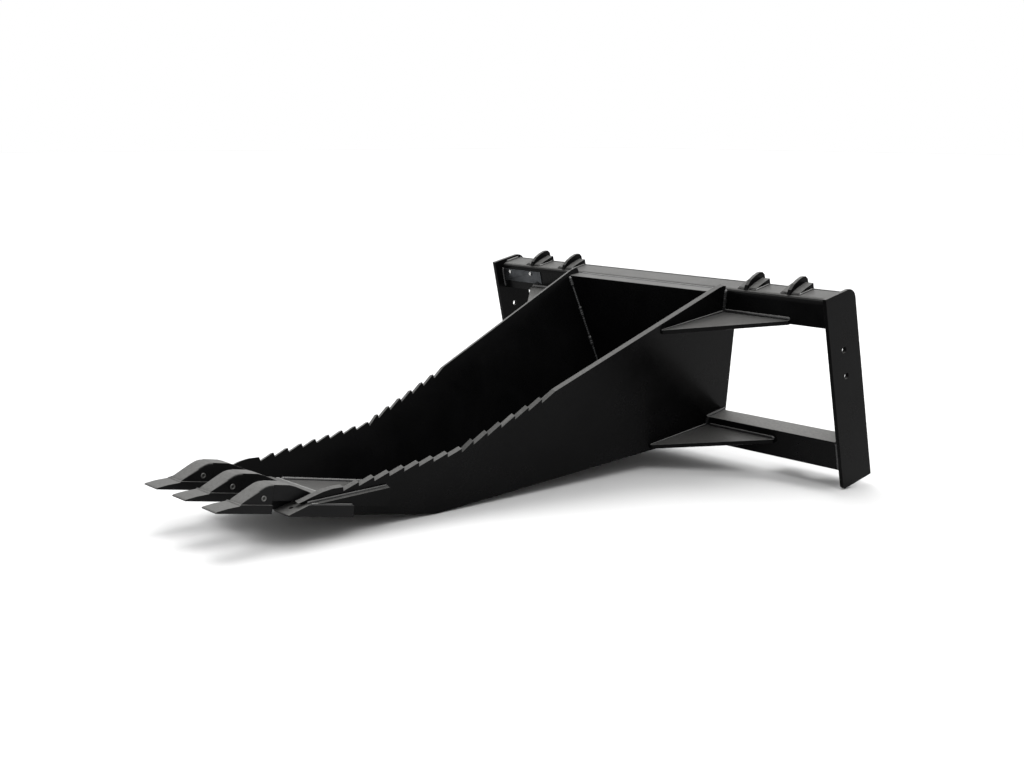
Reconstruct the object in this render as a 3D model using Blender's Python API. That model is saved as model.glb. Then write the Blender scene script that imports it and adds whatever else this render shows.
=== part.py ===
"""Stump bucket for a skid steer loader: a narrow welded bucket with serrated side plates,
three teeth, two corner teeth and an open quick-attach frame behind it.

Frames used here, both in metres:
  bucket axes: +X to the right, +Y from the tooth tips towards the loader, +Z up from the
               underside of the flat front floor
  mount axes:  the same X, with n rearward and p up along the leaning end plates, from the
               lower front corner of the end plates
The finished bucket stands on its floor bend and on the front corners of the end plates.
"""
import bpy
import bmesh
from math import atan, cos, pi, radians, sin, sqrt, tan
from mathutils import Matrix, Vector

GAP = 0.0003                  # clearance between two touching pieces

# Quick-attach frame, in mount axes (n, p)
FRAME_HALF = 0.572            # outer faces of the end plates, 45 in apart
END_T = 0.010
END_DEPTH = 0.106
END_HEIGHT = 0.456
END_CORNER = 0.024            # radius of the upper rear corner
END_FOOT = 0.006              # chamfer of the lower front corner
END_HOLES = (0.262, 0.324)    # heights of the two holes, at END_HOLE_N
END_HOLE_N = 0.048
END_HOLE_R = 0.007
MOUNT_Y = 1.371               # lower front corner of the end plates
MOUNT_Z = 0.150
MOUNT_LEAN = radians(22.4)
RAIL_T = 0.010
RAIL_HEIGHT = 0.069
TOP_RAIL_N = 0.025            # front face of the top rail
TOP_RAIL_TOP = 0.4465
TOP_RAIL_DEPTH = 0.062
TOP_RAIL_BEND = 0.013
LOW_RAIL_N = 0.004
LOW_RAIL_TOP = 0.1135
LOW_RAIL_DEPTH = 0.056
LIP_T = 0.010
LIP_REACH = 0.0227            # run of the hook lip behind the top rail, at 45 degrees
LOCK_X = 0.430                # centres of the two lock pin slots
LOCK_N = 0.082
LOCK_PLATE_W = 0.200
LOCK_PLATE_T = 0.012
LOCK_SLOT = (0.042, 0.030)
EAR_X = (0.316, 0.443)
EAR_T = 0.010                 # the tall fin
EAR_STEP_W = 0.054            # the low step that straddles the fin
EAR_FRONT = 0.030
EAR_REAR = 0.1015
EAR_STEP_REAR = 0.0905
EAR_BACK = [(0.036, 0.4570), (0.050, 0.4665), (0.066, 0.4720), (0.082, 0.4750),
            (0.093, 0.4735), (0.0995, 0.4660)]
EAR_STEP_BACK = [(0.034, 0.4468), (0.040, 0.4505), (0.060, 0.4555), (0.0905, 0.4605)]
PLATE_X = (-0.556, -0.404)    # the identification plate
PLATE_P = (0.399, 0.433)
PLATE_T = 0.0015
RIVET_X = (-0.530, -0.445)
RIVET_P = 0.4255
RIVET_R = 0.0040
RIVET_HEAD = 0.0014

# Shell
SIDE_T = 0.0127
SIDE_HALF = 0.1652            # outer face at the origin of the bucket axes
SIDE_FLARE = 0.2712           # outward run per metre of height
SIDE_TAPER = 0.0486           # inward run per metre towards the loader
SIDE_REAR_N = 0.0705
SIDE_NOSE = [(0.0010, 0.4553), (0.0170, 0.4562), (0.0245, 0.4530)]
SIDE_FRONT = [(0.1700, 0.0), (0.1700, 0.0245), (0.1845, 0.0310), (0.2005, 0.0395),
              (0.2230, 0.0500), (0.2430, 0.0565)]
FLOOR_T = 0.019
FLOOR_BEND_Y = 0.536
FLOOR_RISE = radians(14.1)
BACK_T = 0.010
BACK_N = -0.0115              # front face of the back plate
BACK_TOP = 0.448
LIP_FALL = 0.003              # fall of the back plate's top flange towards the rail
SERRATION = (0.00375, -0.0085)     # from a peak to the valley behind it
FRONT_RUN = ((0.2680, 0.0602), 0.0372, radians(17.45), 9)
REAR_RUN = ((0.5780, 0.1680), 0.0382, radians(32.2), 7)

# Cutting edge, teeth and shoes
EDGE_FRONT = 0.1295
EDGE_REAR = 0.300
EDGE_T = 0.025
EDGE_BEVEL = 0.006
EDGE_RELIEF = (0.155, 0.010)  # underside bevel: where it ends, and its height
TOOTH_PITCH = 0.120
TOOTH_W = 0.055
TOOTH_LENGTH = 0.1235
TOOTH_LEDGE = 0.004           # the body is this much narrower each side than its base
TOOTH_BASE = 0.0175
BASE_TIP = [(0.050, 0.0150), (0.024, 0.0098), (0.002, 0.0035), (0, 0.0015)]
BODY_BACK = [(0.0585, 0.0210), (0.0700, 0.0295), (0.0910, 0.0450), (0.1030, 0.0527),
             (0.1120, 0.0563), (0.1225, 0.0575)]
SHANK_T = 0.024               # the part of the shank inside the tooth
SHANK_W = 0.046               # the part behind it
SHANK_BACK = [(0.1235, 0.0575), (0.1580, 0.0575), (0.1720, 0.0548), (0.2020, 0.0455),
              (0.2330, 0.0345), (0.2400, 0.0300)]
POCKET = [(0.056, 0.0120), (0.150, 0.0120), (0.150, 0.0490), (0.1130, 0.0490), (0.056, 0.0190)]
NOSE = [(0.060, 0.0130), (0.1280, 0.0130), (0.1280, 0.0480), (0.1120, 0.0480), (0.060, 0.0183)]
PIN_AT = (0.1035, 0.0300)
PIN_R = 0.006
SHOE_X = 0.1455
SHOE_FRONT = 0.1466
SHOE_REAR = 0.298
SHOE_T = 0.0235
SHOE_NOSE = [(0.1900, 0.0235), (0.1506, 0.0050), (0.1466, 0.0025)]
SHOE_HOLE = (0.1670, 0.0045)  # place and radius of the hole in the sloped nose
CUTTER_T = 0.010
CUTTER = [(0.186, 0.0240), (0.392, 0.0240), (0.3795, 0.0650)]

# Gussets between the shell and the frame: level at n = 0, slope, front tip, reach in X at the
# rail, station in X of the tip and the face of the rail
GUSSET_T = 0.010
GUSSET_END = 0.008            # blunt end of the long edge at the rail
GUSSETS = {"upper": (0.390, -0.078, -0.182, 0.446, 0.240, TOP_RAIL_N),
           "lower": (0.0915, -0.080, -0.190, 0.380, 0.162, LOW_RAIL_N)}

BLACK = (0.018, 0.018, 0.019, 1.0)
WORN = (0.050, 0.048, 0.046, 1.0)
STEEL = (0.42, 0.41, 0.39, 1.0)

# Sizes of the cutters, all larger than what they cut
FAR = 0.6
WIDE = 0.5


def clear_scene():
    for ob in list(bpy.data.objects):
        bpy.data.objects.remove(ob, do_unlink=True)


def new_collection(name):
    coll = bpy.data.collections.new(name)
    bpy.context.scene.collection.children.link(coll)
    return coll


def empty(name, location, lean, parent=None):
    ob = bpy.data.objects.new(name, None)
    ob.location = location
    ob.rotation_euler = (lean, 0, 0)
    ob.parent = parent
    PARTS.objects.link(ob)
    return ob


def material(name, colour, roughness, metallic):
    mat = bpy.data.materials.new(name)
    mat.use_nodes = True
    shader = mat.node_tree.nodes["Principled BSDF"]
    shader.inputs["Base Color"].default_value = colour
    shader.inputs["Roughness"].default_value = roughness
    shader.inputs["Metallic"].default_value = metallic
    return mat


def mesh_from_curve(name, curve):
    """The closed solid of a filled and extruded curve, with its caps welded on."""
    carrier = bpy.data.objects.new(name + "_curve", curve)
    PARTS.objects.link(carrier)
    depsgraph = bpy.context.evaluated_depsgraph_get()
    mesh = bpy.data.meshes.new_from_object(carrier.evaluated_get(depsgraph))
    bpy.data.objects.remove(carrier, do_unlink=True)
    bpy.data.curves.remove(curve)
    bm = bmesh.new()
    bm.from_mesh(mesh)
    bmesh.ops.remove_doubles(bm, verts=bm.verts, dist=1e-6)
    bmesh.ops.recalc_face_normals(bm, faces=bm.faces)
    bm.to_mesh(mesh)
    bm.free()
    mesh.name = name
    return mesh


def outline_mesh(name, outline, thickness):
    curve = bpy.data.curves.new(name, "CURVE")
    curve.dimensions = "2D"
    curve.fill_mode = "BOTH"
    curve.extrude = thickness / 2
    spline = curve.splines.new("POLY")
    spline.points.add(len(outline) - 1)
    for point, (x, y) in zip(spline.points, outline):
        point.co = (x, y, 0, 1)
    spline.use_cyclic_u = True
    return mesh_from_curve(name, curve)


def place(name, mesh, parent, matrix, mat=None, coll=None):
    ob = bpy.data.objects.new(name, mesh)
    (coll or PARTS).objects.link(ob)
    ob.parent = parent
    ob.matrix_local = matrix
    if mat:
        ob.data.materials.append(mat)
    else:
        ob.hide_render = True
        ob.display_type = "WIRE"
    return ob


# A flat outline drawn in (Y, Z) becomes a plate that lies across X
ACROSS_X = Matrix(((0, 0, 1, 0), (1, 0, 0, 0), (0, 1, 0, 0), (0, 0, 0, 1)))


def profile(name, outline, x_low, x_high, parent, mat=None):
    """A prism along X between two stations, from an outline in (Y, Z) or (n, p)."""
    mesh = outline_mesh(name, outline, x_high - x_low)
    matrix = Matrix.Translation(((x_low + x_high) / 2, 0, 0)) @ ACROSS_X
    return place(name, mesh, parent, matrix, mat, None if mat else CUTTERS)


def plan(name, outline, level, thickness, tilt, parent, mat):
    """A plate drawn in (X, n) whose upper face passes through the level at n = 0."""
    mesh = outline_mesh(name, outline, thickness)
    matrix = (Matrix.Translation((0, 0, level)) @ Matrix.Rotation(tilt, 4, "X")
              @ Matrix.Translation((0, 0, -thickness / 2)))
    return place(name, mesh, parent, matrix, mat)


def box(name, low, high, parent, mat=None):
    bm = bmesh.new()
    bmesh.ops.create_cube(bm, size=1.0)
    size = Vector(high) - Vector(low)
    centre = (Vector(high) + Vector(low)) / 2
    bmesh.ops.scale(bm, vec=size, verts=bm.verts)
    bmesh.ops.translate(bm, vec=centre, verts=bm.verts)
    mesh = bpy.data.meshes.new(name)
    bm.to_mesh(mesh)
    bm.free()
    return place(name, mesh, parent, Matrix(), mat, None if mat else CUTTERS)


def rod(name, radius, length, centre, parent, mat=None, turn=None, sides=20):
    """A round bar along X, or along the axis that the given turn brings Z to."""
    bm = bmesh.new()
    turn = turn or Matrix.Rotation(pi / 2, 4, "Y")
    matrix = Matrix.Translation(centre) @ turn
    bmesh.ops.create_cone(bm, cap_ends=True, segments=sides, radius1=radius,
                          radius2=radius, depth=length, matrix=matrix)
    mesh = bpy.data.meshes.new(name)
    bm.to_mesh(mesh)
    bm.free()
    mesh.shade_smooth()
    mesh.set_sharp_from_angle(angle=radians(40))
    return place(name, mesh, parent, Matrix(), mat, None if mat else CUTTERS)


def boolean(ob, other, operation="DIFFERENCE"):
    mod = ob.modifiers.new(operation.lower(), "BOOLEAN")
    mod.operation = operation
    mod.solver = "EXACT"
    mod.object = other


def arc(centre, radius, start, end, steps=6):
    cy, cz = centre
    turns = [start + (end - start) * i / steps for i in range(steps + 1)]
    return [(cy + radius * cos(a), cz + radius * sin(a)) for a in turns]


# Side plates: a leaning plane on each side, with its own two axes along the plate

def side_axes(side):
    normal = Vector((side, SIDE_TAPER, -SIDE_FLARE)).normalized()
    along = Vector((-side * SIDE_TAPER, 1, 0)).normalized()
    up = along.cross(normal) * -side
    return normal, along, up.normalized()


def on_side(y, z):
    """A point of the outer face, given by its height and length, in the plate's axes."""
    x = SIDE_FLARE * z - SIDE_TAPER * y
    _, along, up = side_axes(1)
    offset = Vector((x, y, z))
    return offset.dot(along), offset.dot(up)


def side_matrix(side, depth):
    """The plate's axes, with the origin the given depth inside the outer face."""
    normal, along, up = side_axes(side)
    origin = Vector((side * SIDE_HALF, 0, 0)) - normal * depth
    matrix = Matrix((along, up, along.cross(up))).transposed().to_4x4()
    return Matrix.Translation(origin) @ matrix


def side_plate(name, outline, side, depth, thickness, mat):
    mesh = outline_mesh(name, [on_side(y, z) for y, z in outline], thickness)
    return place(name, mesh, BUCKET, side_matrix(side, depth + thickness / 2), mat)


def side_slab(name, side, inner, outer):
    """A cutter along the whole plate, between two distances outside its outer face."""
    mesh = outline_mesh(name, [(-1, -1), (3, -1), (3, 2), (-1, 2)], outer - inner)
    return place(name, mesh, BUCKET, side_matrix(side, -(outer + inner) / 2), None, CUTTERS)


def mount_to_bucket(n, p):
    y = MOUNT_Y + n * cos(MOUNT_LEAN) - p * sin(MOUNT_LEAN)
    z = MOUNT_Z + n * sin(MOUNT_LEAN) + p * cos(MOUNT_LEAN)
    return y, z


def serrated_run(start, pitch, angle, count):
    points = []
    for i in range(count):
        y = start[0] + i * pitch * cos(angle)
        z = start[1] + i * pitch * sin(angle)
        points += [(y, z), (y + SERRATION[0], z + SERRATION[1])]
    return points


def side_outline():
    """The rear edge follows the mount axes and is cut back around both rails."""
    top = serrated_run(*FRONT_RUN) + serrated_run(*REAR_RUN)[:-1]
    low = LOW_RAIL_N - GAP
    corner = LOW_RAIL_TOP - RAIL_HEIGHT / 2
    rail = (TOP_RAIL_N + LOW_RAIL_N) / 2
    rear = SIDE_NOSE + [(TOP_RAIL_N - GAP, 0.380), (SIDE_REAR_N, 0.370), (SIDE_REAR_N, 0.100),
                        (rail, corner), (low, corner), (low, 0.064)]
    heel = [mount_to_bucket(n, p) for n, p in rear]
    return [(SHOE_REAR, 0.0)] + SIDE_FRONT + top + heel + [(FLOOR_BEND_Y, 0.0)]


# Profiles of the frame, in (n, p)

def end_plate_outline():
    corner = END_CORNER
    rear = END_DEPTH
    top = END_HEIGHT
    curve = arc((rear - corner, top - corner), corner, 0, pi / 2)
    return [(END_FOOT, 0), (rear, 0)] + curve + [(0, top), (0, END_FOOT)]


def top_rail_outline():
    n, top, bend = TOP_RAIL_N, TOP_RAIL_TOP, TOP_RAIL_BEND
    rear = n + TOP_RAIL_DEPTH
    centre = (n + bend, top - bend)
    outside = arc(centre, bend, pi / 2, pi, 5)
    inside = arc(centre, bend - RAIL_T, pi, pi / 2, 3)
    foot = top - RAIL_HEIGHT
    return ([(rear, top - RAIL_T), (rear, top)] + outside
            + [(n, foot), (n + RAIL_T, foot)] + inside)


def low_rail_outline():
    n, top = LOW_RAIL_N, LOW_RAIL_TOP
    rear = n + LOW_RAIL_DEPTH
    foot = top - RAIL_HEIGHT
    return [(n, foot), (n + RAIL_T, foot), (n + RAIL_T, top - RAIL_T),
            (rear, top - RAIL_T), (rear, top), (n, top)]


def lip_outline():
    n = TOP_RAIL_N + TOP_RAIL_DEPTH + GAP
    p = TOP_RAIL_TOP - GAP
    drop = LIP_T / sqrt(2)
    far = (n + LIP_REACH, p - LIP_REACH)
    return [(n, p), far, (far[0] - drop, far[1] - drop), (n, p - LIP_T * sqrt(2))]


def build_frame(paint):
    inner = FRAME_HALF - END_T
    span = inner - GAP
    for side, word in SIDES:
        low, high = sorted((side * inner, side * FRAME_HALF))
        plate = profile(f"end_plate_{word}", end_plate_outline(), low, high, MOUNT, paint)
        for i, height in enumerate(END_HOLES):
            centre = (side * inner, END_HOLE_N, height)
            hole = rod(f"end_hole_{word}_{i}", END_HOLE_R, 6 * END_T, centre, MOUNT)
            boolean(plate, hole)
    profile("top_rail", top_rail_outline(), -span, span, MOUNT, paint)
    profile("bottom_rail", low_rail_outline(), -span, span, MOUNT, paint)
    profile("hook_lip", lip_outline(), -span, span, MOUNT, paint)


def build_lock_plates(paint):
    """The slotted plates that the two lock pins of the loader drop through."""
    level = LOW_RAIL_TOP - RAIL_HEIGHT
    front = LOW_RAIL_N + RAIL_T + GAP
    length, width = LOCK_SLOT
    for side, word in SIDES:
        x = side * LOCK_X
        low = (x - LOCK_PLATE_W / 2, front, level)
        high = (x + LOCK_PLATE_W / 2, END_DEPTH, level + LOCK_PLATE_T)
        plate = box(f"lock_pin_plate_{word}", low, high, MOUNT, paint)
        low = (x - length / 2, LOCK_N - width / 2, level - LOCK_PLATE_T)
        high = (x + length / 2, LOCK_N + width / 2, level + 2 * LOCK_PLATE_T)
        boolean(plate, box(f"lock_slot_{word}", low, high, MOUNT))


def build_ears(paint):
    """Each ear is a tall fin and a low step in one piece, hooked over the rail and its lip."""
    deck = TOP_RAIL_TOP + GAP
    edge = TOP_RAIL_N + TOP_RAIL_DEPTH + GAP

    def foot(rear):
        return [(rear, deck - (rear - edge) + GAP), (edge, deck + GAP)]

    fin = foot(EAR_REAR) + [(EAR_FRONT, deck)] + EAR_BACK
    step = foot(EAR_STEP_REAR) + EAR_STEP_BACK
    for side, word in SIDES:
        for x, place_word in zip(EAR_X, ("inner", "outer")):
            name = f"hook_ear_{word}_{place_word}"
            x *= side
            half = EAR_STEP_W / 2
            ear = profile(name, fin, x - EAR_T / 2, x + EAR_T / 2, MOUNT, paint)
            boolean(ear, profile(name + "_step", step, x - half, x + half, MOUNT), "UNION")


def floor_line(depth, n):
    """Height p at station n of a line the given depth above the underside of the floor."""
    y0, z0 = mount_to_bucket(n, 0)
    rise = tan(FLOOR_RISE)
    offset = depth / cos(FLOOR_RISE)
    return ((offset + rise * (y0 - FLOOR_BEND_Y) - z0)
            / (cos(MOUNT_LEAN) + rise * sin(MOUNT_LEAN)))


def floor_outline():
    front = EDGE_REAR + GAP
    rear = LOW_RAIL_N - GAP
    under = mount_to_bucket(rear, floor_line(0, rear))
    over = mount_to_bucket(rear, floor_line(FLOOR_T, rear))
    bend = FLOOR_BEND_Y - FLOOR_T * tan(FLOOR_RISE / 2)
    return [(front, 0), (FLOOR_BEND_Y, 0), under, over, (bend, FLOOR_T), (front, FLOOR_T)]


def edge_outline():
    relief, height = EDGE_RELIEF
    return [(EDGE_FRONT, height), (relief, 0), (EDGE_REAR, 0), (EDGE_REAR, EDGE_T),
            (EDGE_FRONT + EDGE_BEVEL, EDGE_T), (EDGE_FRONT, EDGE_T - EDGE_BEVEL)]


def back_outline():
    """A plate with a flange at its top that reaches back to the top rail."""
    foot = floor_line(FLOOR_T, BACK_N) + 2 * GAP
    front, inner, rear = BACK_N, BACK_N + BACK_T, TOP_RAIL_N - GAP
    return [(front, foot), (inner, foot + BACK_T / 2), (inner, BACK_TOP - BACK_T),
            (rear, BACK_TOP - BACK_T - LIP_FALL), (rear, BACK_TOP - LIP_FALL),
            (front, BACK_TOP)]


def build_shell(paint):
    half = SHOE_X - TOOTH_W / 2 - GAP
    floor = profile("floor_plate", floor_outline(), -FAR / 2, FAR / 2, BUCKET, paint)
    back = profile("back_plate", back_outline(), -FAR / 2, FAR / 2, MOUNT, paint)
    edge = profile("cutting_edge", edge_outline(), -half, half, BUCKET, paint)
    top_room = box("top_rail_room", (-WIDE, TOP_RAIL_N - GAP, TOP_RAIL_TOP - RAIL_HEIGHT - GAP),
                   (WIDE, FAR, FAR), MOUNT)
    low_room = box("low_rail_room", (-WIDE, LOW_RAIL_N - GAP, -FAR),
                   (WIDE, FAR, LOW_RAIL_TOP + GAP), MOUNT)
    for side, word in SIDES:
        plate = side_plate(f"side_plate_{word}", side_outline(), side, 0, SIDE_T, paint)
        cutter = side_plate(f"side_cutter_{word}", CUTTER, side, -CUTTER_T - GAP, CUTTER_T,
                            paint)
        low = (side * SHOE_X - TOOTH_W / 2 - GAP, 0, -FAR)
        high = (side * SHOE_X + TOOTH_W / 2 + GAP, SHOE_REAR + GAP, SHOE_T + GAP)
        shoe_room = box(f"shoe_room_{word}", low, high, BUCKET)
        for room in (top_room, low_room, shoe_room):
            boolean(plate, room)
        boolean(cutter, shoe_room)
        outside = side_slab(f"outside_{word}", side, -SIDE_T - GAP, WIDE)
        for ob in (floor, edge, back):
            boolean(ob, outside)


def build_gussets(paint):
    for word_level, (level, slope, tip, reach, tip_x, face) in GUSSETS.items():
        rear = (face - GAP) / cos(atan(slope))
        for side, word in SIDES:
            outline = [(0, tip), (0, rear), (side * reach, rear),
                       (side * reach, rear - GUSSET_END), (side * tip_x, tip)]
            name = f"{word_level}_gusset_{word}"
            plate = plan(name, outline, level, GUSSET_T, atan(slope), MOUNT, paint)
            boolean(plate, side_slab(name + "_inside", side, -FAR, GAP))


def build_teeth(paint, worn, steel):
    half = TOOTH_W / 2
    ledge = half - TOOTH_LEDGE
    room = SHANK_T / 2 + GAP
    rear = TOOTH_LENGTH
    base = [(0, 0), (rear, 0), (rear, TOOTH_BASE), (BASE_TIP[0][0] + TOOTH_BASE - BASE_TIP[0][1],
                                                    TOOTH_BASE)] + BASE_TIP
    body = [(BODY_BACK[0][0], TOOTH_BASE / 2), (rear, TOOTH_BASE / 2), (rear, BODY_BACK[-1][1])]
    body = body + BODY_BACK[-1::-1] + [(BASE_TIP[0][0], BASE_TIP[0][1])]
    behind = rear + GAP
    over = EDGE_T + GAP
    arm = [(behind, over), (SHANK_BACK[-1][0], over)] + SHANK_BACK[:0:-1]
    arm = arm + [(behind, SHANK_BACK[0][1])]
    for number, x in enumerate((-TOOTH_PITCH, 0, TOOTH_PITCH), 1):
        point = profile(f"tooth_point_{number}", base, x - half, x + half, BUCKET, worn)
        shank = profile(f"tooth_shank_{number}", arm, x - SHANK_W / 2, x + SHANK_W / 2,
                        BUCKET, paint)
        boolean(point, profile(f"tooth_body_{number}", body, x - ledge, x + ledge, BUCKET),
                "UNION")
        boolean(point, profile(f"pocket_{number}", POCKET, x - room, x + room, BUCKET))
        boolean(shank, profile(f"nose_{number}", NOSE, x - SHANK_T / 2, x + SHANK_T / 2,
                               BUCKET), "UNION")
        bore = rod(f"pin_bore_{number}", PIN_R + GAP, 2 * TOOTH_W, (x, *PIN_AT), BUCKET)
        boolean(point, bore)
        boolean(shank, bore)
        rod(f"tooth_pin_{number}", PIN_R, 2 * ledge, (x, *PIN_AT), BUCKET, steel)
    shoe = [(SHOE_FRONT, 0), (SHOE_REAR, 0), (SHOE_REAR, SHOE_T)] + SHOE_NOSE
    hole_y, hole_r = SHOE_HOLE
    for side, word in SIDES:
        x = side * SHOE_X
        corner = profile(f"corner_tooth_{word}", shoe, x - half, x + half, BUCKET, worn)
        boolean(corner, rod(f"shoe_hole_{word}", hole_r, 4 * SHOE_T, (x, hole_y, 0), BUCKET,
                            turn=Matrix()))


def build_identification_plate(steel):
    """A blank plate with two rivets, on the face of the top rail."""
    face = TOP_RAIL_N - GAP - PLATE_T
    low = (PLATE_X[0], face, PLATE_P[0])
    high = (PLATE_X[1], face + PLATE_T, PLATE_P[1])
    plate = box("identification_plate", low, high, MOUNT, steel)
    turn = Matrix.Rotation(pi / 2, 4, "X")
    for i, x in enumerate(RIVET_X):
        rivet = rod(f"rivet_{i}", RIVET_R, 2 * RIVET_HEAD, (x, face, RIVET_P), MOUNT, turn=turn)
        boolean(plate, rivet, "UNION")


def stand_on_floor():
    """Move the bucket so that its box is centred on the origin and its feet are at Z = 0."""
    bpy.context.view_layer.update()
    depsgraph = bpy.context.evaluated_depsgraph_get()
    corners = []
    for ob in PARTS.objects:
        if ob.type == "MESH":
            real = ob.evaluated_get(depsgraph)
            corners += [real.matrix_world @ v.co for v in real.data.vertices]
    low = [min(c[i] for c in corners) for i in range(3)]
    high = [max(c[i] for c in corners) for i in range(3)]
    BUCKET.location = (0, -(low[1] + high[1]) / 2, -low[2])


SIDES = ((-1, "left"), (1, "right"))
REST_TILT = atan(MOUNT_Z / (MOUNT_Y - FLOOR_BEND_Y))

clear_scene()
PARTS = new_collection("stump_bucket")
CUTTERS = new_collection("cutters")
BUCKET = empty("bucket_axes", (0, 0, 0), -REST_TILT)
MOUNT = empty("mount_axes", (0, MOUNT_Y, MOUNT_Z), MOUNT_LEAN, BUCKET)

black_paint = material("black_paint", BLACK, 0.42, 0.0)
worn_paint = material("worn_tooth_paint", WORN, 0.5, 0.2)
bare_steel = material("bare_steel", STEEL, 0.38, 1.0)

build_frame(black_paint)
build_lock_plates(black_paint)
build_ears(black_paint)
build_shell(black_paint)
build_gussets(black_paint)
build_teeth(black_paint, worn_paint, bare_steel)
build_identification_plate(bare_steel)
stand_on_floor()
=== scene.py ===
"""A stump bucket for a skid steer loader, painted semi-gloss black, on a pale studio floor.

The CAD nodes keep their places and sizes, and get rounded edges and node materials. The weld
beads between them, the rivet heads and the rims of the tooth pins are built here. Lengths are in
metres, and +Y runs from the tooth tips to the loader frame.
"""
import math

import bmesh
import bpy
from mathutils import Matrix, Vector, noise


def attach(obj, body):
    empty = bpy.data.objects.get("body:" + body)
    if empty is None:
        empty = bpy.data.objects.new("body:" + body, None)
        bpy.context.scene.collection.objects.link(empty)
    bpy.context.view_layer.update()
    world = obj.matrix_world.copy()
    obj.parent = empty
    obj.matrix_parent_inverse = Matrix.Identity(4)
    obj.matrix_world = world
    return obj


# The bucket's own axes: +Y along the flat floor from the tooth tips, +Z off it. The loader
# frame's axes: x across, n to the rear, p up the frame from its foot.
BEND_Y = 0.536                      # where the floor bends upward
MOUNT_Y, MOUNT_Z = 1.371, 0.150     # foot of the frame
TILT = math.atan(MOUNT_Z / (MOUNT_Y - BEND_Y))
LEAN = math.radians(22.4)
REST = (0.0, -0.739761, 0.09477)

# Sizes of the welded parts, as they are in the CAD model
SIDE_HALF, SIDE_FLARE, SIDE_TAPER, SIDE_T = 0.1652, 0.2712, 0.0486, 0.0127
SIDE_REAR_N = 0.0705
FLOOR_T, FLOOR_RISE = 0.019, math.radians(14.1)
BACK_N = -0.0115
TOP_N, TOP_P, TOP_FOOT = 0.025, 0.4465, 0.3775
LOW_N, LOW_P, LOW_FOOT = 0.004, 0.1135, 0.0445
RAIL_END = 0.5617
EAR_X, EAR_FOOT_HALF = (0.316, 0.443), 0.027
UPPER_GUSSET = {"level": 0.390, "slope": -0.078, "tip": -0.182, "rail": TOP_N}
LOWER_GUSSET = {"level": 0.0915, "slope": -0.080, "tip": -0.190, "rail": LOW_N}
GUSSET_T = 0.010
TOOTH_X = (-0.120, 0.0, 0.120)
BODY_FOOT, TOOTH_BODY_HALF = 0.0185, 0.0235
PIN_Y, PIN_Z, PIN_R = 0.1035, 0.030, 0.006
SHANK_HALF, SHANK_REAR, EDGE_TOP = 0.023, 0.239, 0.0251
SHOE_SIDE_X = 0.125                 # a shank's edge past this stands over a corner shoe

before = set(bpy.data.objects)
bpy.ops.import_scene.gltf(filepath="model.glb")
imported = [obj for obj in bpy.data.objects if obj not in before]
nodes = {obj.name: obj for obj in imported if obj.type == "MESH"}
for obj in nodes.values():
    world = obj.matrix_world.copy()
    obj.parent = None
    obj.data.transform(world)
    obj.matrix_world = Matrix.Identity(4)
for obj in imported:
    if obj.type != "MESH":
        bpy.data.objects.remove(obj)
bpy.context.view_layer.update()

BUCKET = Matrix.Translation(REST) @ Matrix.Rotation(-TILT, 4, "X")
MOUNT = BUCKET @ Matrix.Translation((0, MOUNT_Y, MOUNT_Z)) @ Matrix.Rotation(LEAN, 4, "X")


def in_bucket(x, y, z):
    return BUCKET @ Vector((x, y, z))


def in_mount(x, n, p):
    return MOUNT @ Vector((x, n, p))


def mount_to_bucket(n, p):
    y = MOUNT_Y + n * math.cos(LEAN) - p * math.sin(LEAN)
    z = MOUNT_Z + n * math.sin(LEAN) + p * math.cos(LEAN)
    return y, z


def side_x(y, z, depth=0.0):
    """X of a side plate's face at a place in bucket axes, the given depth inside the outer one."""
    stretch = math.sqrt(1 + SIDE_FLARE ** 2 + SIDE_TAPER ** 2)
    return SIDE_HALF + SIDE_FLARE * z - SIDE_TAPER * y - depth * stretch


def on_side(n, p, depth=0.0):
    """A point of the right side plate's face from its place in the frame's axes."""
    y, z = mount_to_bucket(n, p)
    return in_bucket(side_x(y, z, depth), y, z)


def floor_top(y):
    rise = max(0.0, y - BEND_Y) * math.tan(FLOOR_RISE)
    return FLOOR_T / math.cos(FLOOR_RISE if y > BEND_Y else 0.0) + rise


# ---------------------------------------------------------------- materials

def new_material(name):
    mat = bpy.data.materials.new(name)
    mat.use_nodes = True
    nt = mat.node_tree
    return mat, nt, nt.nodes["Principled BSDF"]


def add(nt, kind, inputs=None, **props):
    node = nt.nodes.new(kind)
    for key, value in props.items():
        setattr(node, key, value)
    for key, value in (inputs or {}).items():
        node.inputs[key].default_value = value
    return node


def noise_node(nt, coords, scale, detail=4.0, rough=0.55, distortion=0.0):
    node = add(nt, "ShaderNodeTexNoise", {"Scale": scale, "Detail": detail,
                                          "Roughness": rough, "Distortion": distortion})
    nt.links.new(coords, node.inputs["Vector"])
    return node.outputs["Fac"]


def ramp(nt, value, stops):
    node = nt.nodes.new("ShaderNodeValToRGB")
    elements = node.color_ramp.elements
    while len(elements) < len(stops):
        elements.new(0.5)
    for element, (place, level) in zip(elements, stops):
        element.position = place
        element.color = (*level, 1) if isinstance(level, tuple) else (level, level, level, 1)
    nt.links.new(value, node.inputs["Fac"])
    return node.outputs["Color"]


def feed(nt, socket, value):
    """Links a socket to its source, or sets it when the value is a plain number or colour."""
    if isinstance(value, bpy.types.NodeSocket):
        nt.links.new(value, socket)
    else:
        socket.default_value = value


def mix(nt, factor, low, high):
    node = add(nt, "ShaderNodeMix", data_type="RGBA")
    colour_a, colour_b = node.inputs[6], node.inputs[7]
    feed(nt, node.inputs[0], factor)
    feed(nt, colour_a, low)
    feed(nt, colour_b, high)
    return node.outputs[2]


def math_node(nt, operation, a, b):
    node = add(nt, "ShaderNodeMath", operation=operation)
    feed(nt, node.inputs[0], a)
    feed(nt, node.inputs[1], b)
    return node.outputs[0]


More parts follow.
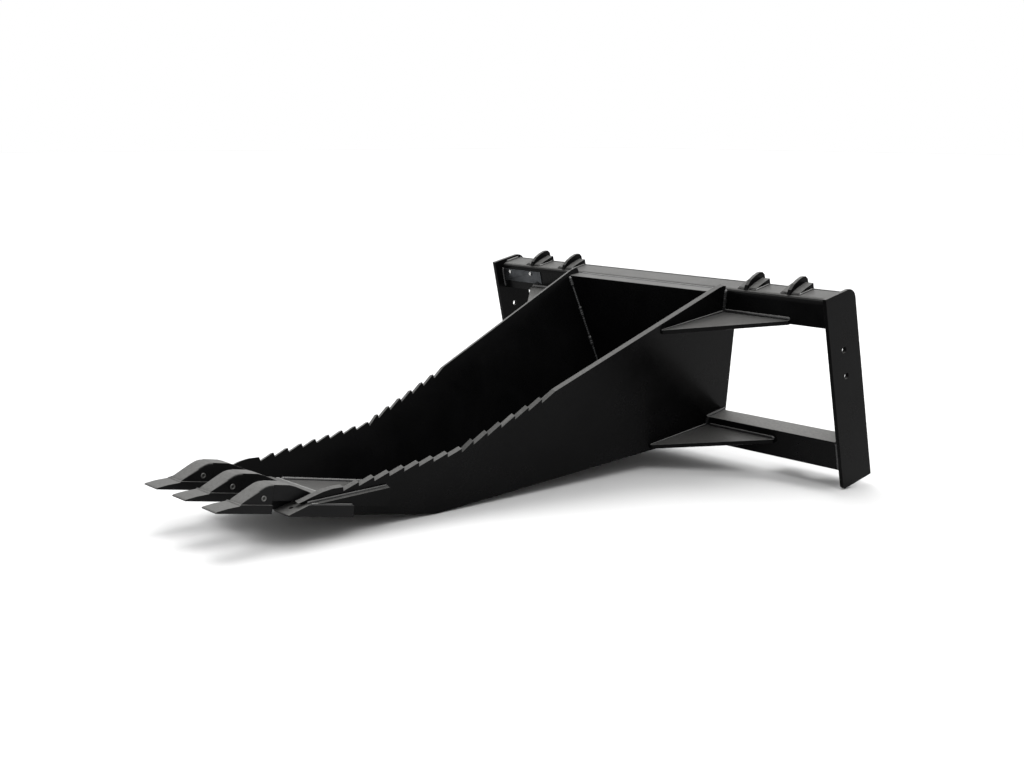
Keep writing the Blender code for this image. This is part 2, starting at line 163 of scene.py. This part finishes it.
def bump(nt, height, strength, distance, normal=None):
    node = add(nt, "ShaderNodeBump", {"Strength": strength, "Distance": distance})
    nt.links.new(height, node.inputs["Height"])
    if normal:
        nt.links.new(normal, node.inputs["Normal"])
    return node.outputs["Normal"]


# Light grey mixed over the black on faces that look up: dust, and painted light standing in for
# the light that falls on top faces
DUST_AND_TOP_LIGHT_GREY = (0.20, 0.198, 0.192, 1)
UPWARD_FROM, UPWARD_FULL = 0.45, 0.85   # upward share of a face's normal
DUST_DULLS = 0.5                    # what full dust adds to roughness


def upward(nt):
    """1 on faces that look up, where dust settles and where top light is painted on, falling to 0
    on steep ones.
    """
    geometry = nt.nodes.new("ShaderNodeNewGeometry")
    split = nt.nodes.new("ShaderNodeSeparateXYZ")
    nt.links.new(geometry.outputs["Normal"], split.inputs[0])
    spread = add(nt, "ShaderNodeMapRange", {"From Min": UPWARD_FROM, "From Max": UPWARD_FULL})
    nt.links.new(split.outputs["Z"], spread.inputs["Value"])
    return spread.outputs["Result"]


def shade(colour, share):
    return tuple(share * channel for channel in colour)


def paint(name, colour, dust_and_light, gloss, grain, grain_depth, specular):
    """Sprayed enamel with orange peel, clouded gloss, and dust and painted top light on the faces
    that look up.

    dust_and_light is the most that dust and painted top light cover, gloss the least and the most
    roughness, and grain the scale of the waviness of what is under the paint.
    """
    mat, nt, shader = new_material(name)
    coords = nt.nodes.new("ShaderNodeTexCoord").outputs["Object"]
    clouds = noise_node(nt, coords, scale=9.0, detail=6.0, rough=0.6, distortion=0.4)
    peel = noise_node(nt, coords, scale=420.0, detail=2.0)
    waves = noise_node(nt, coords, scale=grain, detail=5.0, rough=0.6)
    specks = noise_node(nt, coords, scale=160.0, detail=8.0, rough=0.7)
    base = ramp(nt, clouds, [(0.30, shade(colour, 0.75)), (0.72, shade(colour, 1.35))])
    patchy = ramp(nt, specks, [(0.28, 0.55), (0.72, 1.0)])
    # Dust and painted top light: light grey mixed in, in patches, on faces that look up
    dust_and_top_light = math_node(nt, "MULTIPLY", math_node(nt, "MULTIPLY", upward(nt), patchy), dust_and_light)
    nt.links.new(mix(nt, dust_and_top_light, base, DUST_AND_TOP_LIGHT_GREY), shader.inputs["Base Color"])
    low, high = gloss
    rough = ramp(nt, clouds, [(0.30, low), (0.70, high)])
    nt.links.new(math_node(nt, "ADD", rough, math_node(nt, "MULTIPLY", dust_and_top_light, DUST_DULLS)),
                 shader.inputs["Roughness"])
    normal = bump(nt, waves, strength=0.22, distance=grain_depth)
    peeled = bump(nt, peel, strength=0.06, distance=0.0004, normal=normal)
    nt.links.new(peeled, shader.inputs["Normal"])
    shader.inputs["Specular IOR Level"].default_value = specular
    return mat


def bare_metal(name, colour, gloss):
    """Metal drawn along X, with faint lines in its gloss and duller spots."""
    mat, nt, shader = new_material(name)
    coords = nt.nodes.new("ShaderNodeTexCoord").outputs["Object"]
    streaks = add(nt, "ShaderNodeMapping", {"Scale": (30.0, 900.0, 900.0)})
    nt.links.new(coords, streaks.inputs["Vector"])
    lines = noise_node(nt, streaks.outputs["Vector"], scale=1.0, detail=3.0)
    spots = noise_node(nt, coords, scale=60.0, detail=5.0)
    nt.links.new(ramp(nt, spots, [(0.35, shade(colour, 0.7)), (0.7, colour)]),
                 shader.inputs["Base Color"])
    low, high = gloss
    nt.links.new(ramp(nt, lines, [(0.3, low), (0.7, high)]), shader.inputs["Roughness"])
    nt.links.new(bump(nt, lines, strength=0.15, distance=0.0002), shader.inputs["Normal"])
    shader.inputs["Metallic"].default_value = 1.0
    return mat


# dust_and_light sets how much dust and painted top light each enamel gets on its up-facing faces
BLACK = paint("black_enamel", colour=(0.0020, 0.0020, 0.0021), dust_and_light=0.40, gloss=(0.20, 0.30),
              grain=35.0, grain_depth=0.0004, specular=0.05)
RAIL_BLACK = paint("black_enamel_rail", colour=(0.0022, 0.0022, 0.0023), dust_and_light=0.42,
                   gloss=(0.24, 0.34), grain=28.0, grain_depth=0.0005, specular=0.045)
# The lower rail gets the most light grey: dust, and painted light on its top face
LOW_RAIL_BLACK = paint("black_enamel_rail_dust_and_top_light", colour=(0.0022, 0.0022, 0.0023), dust_and_light=0.90,
                       gloss=(0.22, 0.30), grain=28.0, grain_depth=0.0005, specular=0.06)
CAST = paint("black_enamel_on_casting", colour=(0.0035, 0.0035, 0.0037), dust_and_light=0.50,
             gloss=(0.34, 0.46), grain=110.0, grain_depth=0.0012, specular=0.10)
# The weld enamel is lighter than the plates' so the beads read as light lines: a painted highlight
# along the welds, on top of the glints of their ripples
BEAD = paint("black_enamel_on_weld", colour=(0.0130, 0.0130, 0.0134), dust_and_light=0.70,
             gloss=(0.18, 0.30), grain=260.0, grain_depth=0.0006, specular=0.50)
PIN_STEEL = bare_metal("dull_pin", colour=(0.05, 0.05, 0.048), gloss=(0.45, 0.60))
PLATE_GREY = bare_metal("grey_anodised_plate", colour=(0.055, 0.058, 0.062), gloss=(0.40, 0.55))
RIM_STEEL = bare_metal("zinc_pin_rim", colour=(0.16, 0.16, 0.155), gloss=(0.40, 0.52))
RIVET_STEEL = bare_metal("bright_rivet", colour=(0.55, 0.55, 0.54), gloss=(0.30, 0.42))


# ---------------------------------------------------------------- CAD nodes

JOIN_WITHIN = 1e-5
FLAT_WITHIN = math.radians(1.0)
BODY_ROUNDING = 0.0045
CLEAR_OF_PIN = 2 * PIN_R


def finish_node(name, mat, width, segments=2, angle=32.0):
    """Gives a CAD node its material, and rounds its edges by modifiers that leave its mesh alone.

    The loaded mesh has loose triangles, so they are joined and made into flat faces first.
    """
    node = nodes[name]
    node.data.materials.clear()
    node.data.materials.append(mat)
    joined = node.modifiers.new("joined_faces", "WELD")
    joined.merge_threshold = JOIN_WITHIN
    flat = node.modifiers.new("flat_faces", "DECIMATE")
    flat.decimate_type = "DISSOLVE"
    flat.angle_limit = FLAT_WITHIN
    bevel = node.modifiers.new("cut_edges", "BEVEL")
    bevel.width = width
    bevel.segments = segments
    bevel.limit_method = "ANGLE"
    bevel.angle_limit = math.radians(angle)
    bevel.use_clamp_overlap = True


def round_casting(name):
    """Rounds the long edges of a tooth's raised body, clear of its thin tip and its pin hole."""
    node = nodes[name]
    group = node.vertex_groups.new(name="rounded")
    to_bucket = BUCKET.inverted()
    for vertex in node.data.vertices:
        place = to_bucket @ vertex.co
        by_pin = math.hypot(place.y - PIN_Y, place.z - PIN_Z) < CLEAR_OF_PIN
        if place.z > BODY_FOOT and not by_pin:
            group.add([vertex.index], 1.0, "REPLACE")
    bevel = node.modifiers.new("rounded_body", "BEVEL")
    bevel.width = BODY_ROUNDING
    bevel.segments = 4
    bevel.limit_method = "VGROUP"
    bevel.vertex_group = group.name
    bevel.use_clamp_overlap = False
    before_cut_edges = node.modifiers.find("cut_edges")
    node.modifiers.move(node.modifiers.find(bevel.name), before_cut_edges)


for name in sorted(nodes):
    if name.startswith("tooth_point"):
        finish_node(name, CAST, width=0.0015, segments=3, angle=40.0)
        round_casting(name)
    elif name.startswith("corner_tooth"):
        finish_node(name, CAST, width=0.0030, segments=3)
    elif name.startswith(("tooth_shank", "cutting_edge")):
        finish_node(name, CAST, width=0.0024, segments=3)
    elif name.startswith("tooth_pin"):
        finish_node(name, PIN_STEEL, width=0.0008)
    elif name == "identification_plate":
        finish_node(name, PLATE_GREY, width=0.0003)
    elif name == "bottom_rail":
        finish_node(name, LOW_RAIL_BLACK, width=0.0013)
    elif "rail" in name or name.startswith(("hook", "end_plate")):
        finish_node(name, RAIL_BLACK, width=0.0013)
    else:
        finish_node(name, BLACK, width=0.0012)


# ---------------------------------------------------------------- pieces built here

def finish_piece(name, bm, mat):
    """Makes a mesh a piece that rides on the bucket, with the material given."""
    bmesh.ops.recalc_face_normals(bm, faces=bm.faces)
    mesh = bpy.data.meshes.new(name)
    bm.to_mesh(mesh)
    bm.free()
    mesh.shade_smooth()
    mesh.materials.append(mat)
    piece = bpy.data.objects.new(name, mesh)
    bpy.context.scene.collection.objects.link(piece)
    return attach(piece, "root")


def skin(bm, rings):
    """Faces between rings of the same number of vertices."""
    for one, two in zip(rings, rings[1:]):
        for k in range(len(one)):
            m = (k + 1) % len(one)
            bm.faces.new((one[k], one[m], two[m], two[k]))


def cap(bm, rings):
    bm.faces.new(rings[0][::-1])
    bm.faces.new(rings[-1])


# ---------------------------------------------------------------- weld beads

RING = 8                                # vertices round a bead
STEP = 0.0016                           # distance between its rings
RIPPLE = 0.0052                         # length of a ripple
OFF_AXIS = Vector((0.31, 0.17, 0.93))   # parallel to no seam

# Shares of a bead's radius: the depth of a ripple, how much the bead wanders in size and to
# the side, the radius at its very ends and how much that grows over a metre
RIPPLE_DEPTH, WANDER_SIZE, WANDER_SIDE = 0.16, 0.10, 0.10
END_SHARE, END_GROWTH = 0.35, 180

# The wander is smooth noise along the seam, on a row of its own for each seed
WANDER_SCALE, WANDER_ROW = 45, 7.3
SEED_STEP, LEFT_SEED = 0.37, 5.1


def resample(points):
    """Points every STEP along a polyline, each with its distance from the start."""
    out, walked = [], 0.0
    for a, b in zip(points, points[1:]):
        length = (b - a).length
        count = max(1, int(length / STEP))
        out += [(a.lerp(b, i / count), walked + length * i / count) for i in range(count)]
        walked += length
    out.append((points[-1], walked))
    return out


def bead(bm, points, radius, seed, start=1.0):
    """A closed rippled tube along a seam, half of it inside the plates that it joins.

    Its radius grows from the start share to the whole along its length.
    """
    stations = resample(points)
    total = stations[-1][1]
    rings = []
    for i, (place, walked) in enumerate(stations):
        ahead = stations[min(i + 1, len(stations) - 1)][0]
        behind = stations[max(i - 1, 0)][0]
        along = (ahead - behind).normalized()
        side = along.cross(OFF_AXIS).normalized()
        up = side.cross(along)
        phase = (walked / RIPPLE + seed) % 1.0
        scallop = 1.0 - RIPPLE_DEPTH * phase ** 2
        wander = noise.noise(Vector((walked * WANDER_SCALE, seed * WANDER_ROW, 0.0)))
        closing = min(1.0, END_SHARE + END_GROWTH * min(walked, total - walked))
        growing = start + (1 - start) * walked / total
        size = radius * scallop * (1 + WANDER_SIZE * wander) * closing * growing
        centre = place + side * wander * radius * WANDER_SIDE
        ring = []
        for k in range(RING):
            turn = math.tau * (k + 0.5) / RING
            spoke = side * math.cos(turn) + up * math.sin(turn)
            ring.append(bm.verts.new(centre + spoke * size))
        rings.append(ring)
    skin(bm, rings)
    cap(bm, rings)


def mirrored(points):
    return [Vector((-p.x, p.y, p.z)) for p in points]


def weld(name, seams, radius, both=True, start=1.0):
    """One piece from several seams; both adds their mirror images on the left."""
    bm = bmesh.new()
    for number, seam in enumerate(seams):
        seed = SEED_STEP * number
        bead(bm, seam, radius, seed, start)
        if both:
            bead(bm, mirrored(seam), radius, seed + LEFT_SEED, start)
    return finish_piece(name, bm, BEAD)


def evenly(start, stop, steps):
    return [start + (stop - start) * i / steps for i in range(steps + 1)]


# Where the seams start and stop: x and y as in the bucket's axes, n and p as in the frame's
TOP_GUSSET_X, TOP_GUSSET_P = (0.246, 0.446), 0.391
LOW_GUSSET_X, LOW_GUSSET_P = (0.176, 0.380), 0.093
UNDER_TIP = 0.004               # how far behind the tip the seam below a gusset starts
NOTCH_FOOT_P, NOTCH_INSIDE_N = 0.066, 0.016
NOTCH_REAR_N = SIDE_REAR_N - 0.003
SIDE_ON_RAIL_P = (0.379, 0.444)
CORNER_FOOT, CORNER_TOP = 0.105, 0.445
STITCH_PITCH, STITCH_LENGTH = 0.079, 0.028
FLOOR_SEAM_Y = (0.32, 1.315)
FLANGE_HALF, FLANGE_N, FLANGE_P = 0.236, TOP_N - 0.0004, 0.444
BACK_FOOT_FACE_P, BACK_FOOT_P, BACK_FOOT_SHORT = 0.089, 0.0905, 0.004
TOP_END_P = (TOP_FOOT + 0.003, 0.434)
TOP_END_N = (TOP_N + 0.016, 0.086)
LOW_END_P, LOW_END_N = (LOW_FOOT + 0.003, LOW_P), 0.058
EAR_N = (0.036, 0.086)
LIP_HALF, LIP_N, LIP_P = 0.558, 0.0873, TOP_P - 0.0005
SHANK_FRONT, SHANK_FRONT_BY_SHOE = 0.138, 0.194
SHANK_REAR_SEAM = SHANK_REAR + 0.0015
EDGE_HALF, EDGE_REAR, EDGE_FOOT = 0.130, 0.3003, 0.0205
CUTTER_TOP = [(0.190, 0.0262), (0.3795, 0.0650)]
CUTTER_END = [(0.3795, 0.0650), (0.392, 0.0245)]
SHOE_X, SHOE_Y, SHOE_TOP = 0.170, (0.196, 0.296), 0.0245
LOCK_X, LOCK_N, LOCK_P = (0.332, 0.528), 0.0145, 0.056


def gusset_seam(gusset, under):
    """Where a gusset's upper or under face meets the side plate, from its tip to the rail."""
    level = gusset["level"] - (GUSSET_T if under else 0.0)
    tip = gusset["tip"] + (UNDER_TIP if under else 0.0)
    return [on_side(n, level + gusset["slope"] * n) for n in evenly(tip, gusset["rail"], 6)]


def corner_run(start, stop):
    """Up the inside corner between the back plate and the right side plate."""
    return [on_side(BACK_N, p, SIDE_T) for p in evenly(start, stop, 4)]


gussets = [gusset_seam(gusset, under)
           for gusset in (UPPER_GUSSET, LOWER_GUSSET) for under in (False, True)]
weld("weld_gussets_to_sides", gussets, radius=0.0052, start=0.4)

top_gusset = [in_mount(x, TOP_N, TOP_GUSSET_P) for x in TOP_GUSSET_X]
low_gusset = [in_mount(x, LOW_N, LOW_GUSSET_P) for x in LOW_GUSSET_X]
weld("weld_gussets_to_rails", [top_gusset, low_gusset], radius=0.0045)

notch = [on_side(LOW_N, NOTCH_FOOT_P), on_side(LOW_N, LOW_P), on_side(NOTCH_REAR_N, LOW_P)]
notch_inside = [on_side(n, LOW_P, SIDE_T) for n in (NOTCH_INSIDE_N, NOTCH_REAR_N)]
upright = [on_side(TOP_N, p) for p in SIDE_ON_RAIL_P]
weld("weld_sides_to_rails", [notch, notch_inside, upright], radius=0.0062)

weld("weld_back_to_sides", [corner_run(CORNER_FOOT, CORNER_TOP)], radius=0.0042)
stitch_count = int((CORNER_TOP - CORNER_FOOT) / STITCH_PITCH) + 1
stitch_tops = [CORNER_TOP - i * STITCH_PITCH for i in range(stitch_count)]
stitches = [corner_run(top - STITCH_LENGTH, top) for top in stitch_tops]
weld("weld_back_stitches", stitches, radius=0.0072)

base_y = sorted(evenly(*FLOOR_SEAM_Y, 8) + [BEND_Y])
base = [in_bucket(side_x(y, floor_top(y), SIDE_T), y, floor_top(y)) for y in base_y]
weld("weld_floor_to_sides", [base], radius=0.0055)

flange = [in_mount(x, FLANGE_N, FLANGE_P) for x in (-FLANGE_HALF, FLANGE_HALF)]
weld("weld_back_to_rail_and_floor", [flange], radius=0.0028, both=False)

foot_half = side_x(*mount_to_bucket(BACK_N, BACK_FOOT_FACE_P), SIDE_T) - BACK_FOOT_SHORT
foot = [in_mount(x, BACK_N, BACK_FOOT_P) for x in (-foot_half, foot_half)]
weld("weld_back_foot", [foot], radius=0.0055, both=False)

top_front = [in_mount(RAIL_END, TOP_N, p) for p in TOP_END_P]
top_over = [in_mount(RAIL_END, n, TOP_P) for n in TOP_END_N]
low_front = [in_mount(RAIL_END, LOW_N, p) for p in LOW_END_P]
low_over = [in_mount(RAIL_END, LOW_END_N, LOW_P)]
weld("weld_rails_to_end_plates", [top_front, top_over, low_front + low_over], radius=0.0048)

ears = [[in_mount(x + side * EAR_FOOT_HALF, n, TOP_P) for n in EAR_N]
        for x in EAR_X for side in (-1, 1)]
weld("weld_hook_ears", ears, radius=0.0034)

lip = [in_mount(x, LIP_N, LIP_P) for x in (-LIP_HALF, LIP_HALF)]
weld("weld_hook_lip", [lip], radius=0.0022, both=False)

shanks = []
for x in TOOTH_X:
    for edge in (x - SHANK_HALF, x + SHANK_HALF):
        front_y = SHANK_FRONT_BY_SHOE if abs(edge) > SHOE_SIDE_X else SHANK_FRONT
        shanks.append([in_bucket(edge, y, EDGE_TOP) for y in (front_y, SHANK_REAR)])
    shanks.append([in_bucket(edge, SHANK_REAR_SEAM, EDGE_TOP)
                   for edge in (x - SHANK_HALF, x + SHANK_HALF)])
weld("weld_tooth_shanks", shanks, radius=0.0046, both=False)

edge_seam = [in_bucket(x, EDGE_REAR, EDGE_FOOT) for x in (-EDGE_HALF, EDGE_HALF)]
weld("weld_cutting_edge", [edge_seam], radius=0.0055, both=False)

cutters = [[in_bucket(side_x(y, z), y, z) for y, z in line] for line in (CUTTER_TOP, CUTTER_END)]
shoe_top = [in_bucket(SHOE_X, y, SHOE_TOP) for y in SHOE_Y]
weld("weld_side_cutters", cutters + [shoe_top], radius=0.0032)

lock_seam = [in_mount(x, LOCK_N, LOCK_P) for x in LOCK_X]
weld("weld_lock_plates", [lock_seam], radius=0.0045)


# ---------------------------------------------------------------- rivet heads and pin rims

TURN_SIDES = 24
RIVET_X, RIVET_P, RIVET_FACE = (-0.530, -0.445), 0.4255, 0.0218

# Profiles: radius, and height above the face
RIVET_DOME = [(0.0048, -0.0006), (0.0048, 0.0004), (0.0042, 0.0012), (0.0026, 0.0019),
              (0.0010, 0.0021)]
PIN_RIM = [(0.0030, -0.0006), (0.0030, 0.0006), (0.0037, 0.0012), (0.0051, 0.0012),
           (0.0058, 0.0006), (0.0058, -0.0006)]


def turned(bm, to_world, profile, hollow):
    """Turns a profile of radius and height about an axis; a hollow one closes on itself."""
    rings = []
    for radius, out in profile:
        ring = []
        for k in range(TURN_SIDES):
            turn = math.tau * k / TURN_SIDES
            place = to_world(radius * math.cos(turn), radius * math.sin(turn), out)
            ring.append(bm.verts.new(place))
        rings.append(ring)
    if hollow:
        rings.append(rings[0])
    skin(bm, rings)
    if not hollow:
        cap(bm, rings)


rivets = bmesh.new()
for rivet_x in RIVET_X:
    turned(rivets, lambda u, v, out: in_mount(rivet_x + u, RIVET_FACE - out, RIVET_P + v),
           RIVET_DOME, hollow=False)
finish_piece("identification_rivets", rivets, RIVET_STEEL)

rims = bmesh.new()
for tooth_x in TOOTH_X:
    for side in (-1, 1):
        face = tooth_x + side * TOOTH_BODY_HALF
        turned(rims, lambda u, v, out: in_bucket(face + side * out, PIN_Y + u, PIN_Z + v),
               PIN_RIM, hollow=True)
finish_piece("tooth_pin_rims", rims, RIM_STEEL)


# ---------------------------------------------------------------- stage, light and camera

FLOOR_HALF, FLOOR_DROP = 40.0, 0.0005
FLOOR_GREY = (0.54, 0.54, 0.54, 1)


def studio_floor():
    mat, _, shader = new_material("studio_floor")
    shader.inputs["Base Color"].default_value = FLOOR_GREY
    shader.inputs["Roughness"].default_value = 0.9
    shader.inputs["Specular IOR Level"].default_value = 0.1
    bm = bmesh.new()
    bmesh.ops.create_grid(bm, x_segments=1, y_segments=1, size=FLOOR_HALF)
    mesh = bpy.data.meshes.new("studio_floor")
    bm.to_mesh(mesh)
    bm.free()
    mesh.materials.append(mat)
    ob = bpy.data.objects.new("studio_floor", mesh)
    ob.location.z = -FLOOR_DROP
    bpy.context.scene.collection.objects.link(ob)


studio_floor()


def towards(azimuth, elevation):
    """A direction from the bucket; azimuth 0 is the side that its teeth point to, 90 is +X."""
    a, e = math.radians(azimuth), math.radians(elevation)
    return Vector((math.sin(a) * math.cos(e), -math.cos(a) * math.cos(e), math.sin(e)))


def lamp(name, kind, direction, power):
    """A light that shines on the bucket from a direction, unseen by the camera."""
    light = bpy.data.lights.new(name, kind)
    light.energy = power
    ob = bpy.data.objects.new(name, light)
    ob.rotation_mode = "QUATERNION"
    ob.rotation_quaternion = (-direction).to_track_quat("-Z", "Y")
    ob.visible_camera = False
    bpy.context.scene.collection.objects.link(ob)
    return ob


DIFFUSER_ANGLE = math.radians(44)
for name, direction, power in (("overhead_diffuser", towards(238, 71), 2.8),
                               ("front_diffuser", towards(66, 62), 1.6)):
    lamp(name, "SUN", direction, power).data.angle = DIFFUSER_ANGLE

SOFTBOX_AIM, SOFTBOX_DISTANCE = Vector((0, 0, 0.3)), 3.6
softbox_direction = towards(226, 31)
softbox = lamp("back_softbox", "AREA", softbox_direction, 27.0)
softbox.data.shape = "RECTANGLE"
softbox.data.size, softbox.data.size_y = 3.0, 1.1
softbox.location = SOFTBOX_AIM + softbox_direction * SOFTBOX_DISTANCE

world = bpy.data.worlds.new("studio")
world.use_nodes = True
background = world.node_tree.nodes["Background"]
background.inputs["Color"].default_value = (1, 1, 1, 1)
background.inputs["Strength"].default_value = 1.0
bpy.context.scene.world = world

bpy.context.scene.view_settings.view_transform = "Standard"

# The camera's place, which way it looks and how far it rolls
CAMERA_PLACE = (2.48364, -2.00793, 0.81276)
AZIMUTH, ELEVATION, ROLL = (math.radians(angle) for angle in (49.38, 10.17, 0.24))
camera = bpy.data.cameras.new("camera")
camera.lens = 50
camera.sensor_width = 36
camera.clip_end = 200
camera_ob = bpy.data.objects.new("camera", camera)
camera_ob.matrix_world = (Matrix.Translation(CAMERA_PLACE)
                          @ Matrix.Rotation(AZIMUTH, 4, "Z")
                          @ Matrix.Rotation(math.pi / 2 - ELEVATION, 4, "X")
                          @ Matrix.Rotation(ROLL, 4, "Z"))
bpy.context.scene.collection.objects.link(camera_ob)
bpy.context.scene.camera = camera_ob
